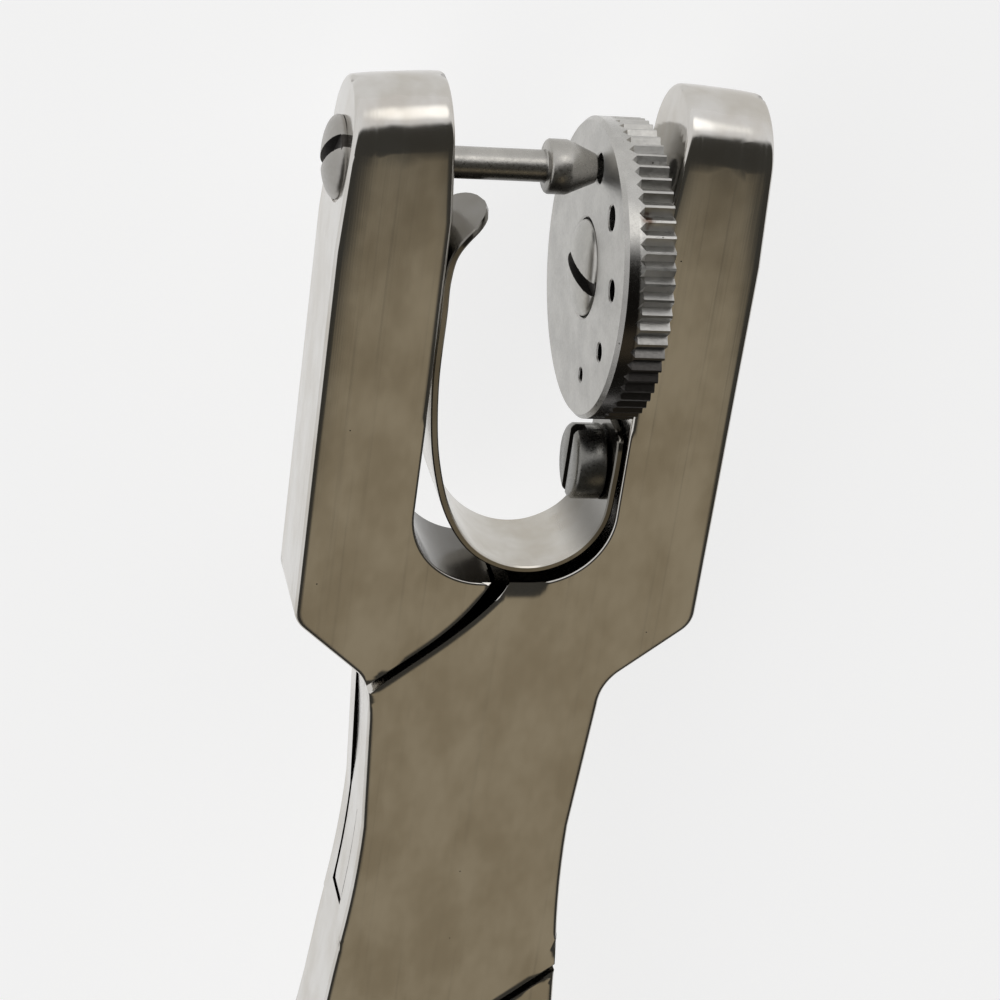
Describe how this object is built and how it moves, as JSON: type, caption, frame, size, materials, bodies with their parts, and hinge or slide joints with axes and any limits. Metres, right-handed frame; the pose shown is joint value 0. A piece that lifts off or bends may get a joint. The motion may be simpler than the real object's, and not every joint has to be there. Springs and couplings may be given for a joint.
{
  "type": "rotary anvil hole punch pliers",
  "caption": "Stainless hand pliers that punch holes: a stylus on one jaw presses on a turning knurled anvil wheel with graduated holes on the other.",
  "frame": {"origin": "bottom centre of the closed tool's box, as it lies flat on its back face; the pivot axis passes 27.7 mm along +Y from it", "axes": "+Y from the handle ends to the jaw tips, +X from the punch jaw to the wheel jaw, +Z out of the front face along the pivot axis"},
  "size_m": [0.048, 0.17, 0.0206],
  "materials": {
    "lever_steel": "satin polished stainless steel with fine grinding marks",
    "turned_steel": "turned stainless steel",
    "wheel_steel": "matt ground stainless steel, knurled rim",
    "spring_steel": "polished spring steel",
    "dark_steel": "dull screw steel"
  },
  "bodies": {
    "anvil_side": {"anvil_lever": "lever_steel", "pivot_pin": "lever_steel", "wheel_screw": "wheel_steel", "wheel_washer": "spring_steel", "detent_spring": "spring_steel", "detent_plug": "dark_steel", "leaf_spring": "spring_steel", "leaf_spring_screw": "dark_steel"},
    "punch_side": {"punch_lever": "lever_steel", "punch_stylus": "turned_steel", "punch_screw": "turned_steel"},
    "wheel": {"anvil_wheel": "wheel_steel"},
    "detent": {"detent_ball": "turned_steel"}
  },
  "joints": [
    {"name": "lever_pivot", "type": "hinge", "parent": "anvil_side", "child": "punch_side", "pos_m": [0, 0.0277, 0.0103], "axis": [0, 0, 1], "range_deg": [0, 12], "deforming": ["leaf_spring"]},
    {"name": "wheel_turn", "type": "hinge", "parent": "anvil_side", "child": "wheel", "pos_m": [0.00513, 0.07155, 0.0103], "axis": [1, 0, 0], "continuous": true},
    {"name": "detent_ball_slide", "type": "slide", "parent": "anvil_side", "child": "detent", "axis": [1, 0, 0], "range_m": [0, 0.0004], "stiffness_N_per_m": 400, "springref_m": -0.0005, "deforming": ["detent_spring"]}
  ]
}
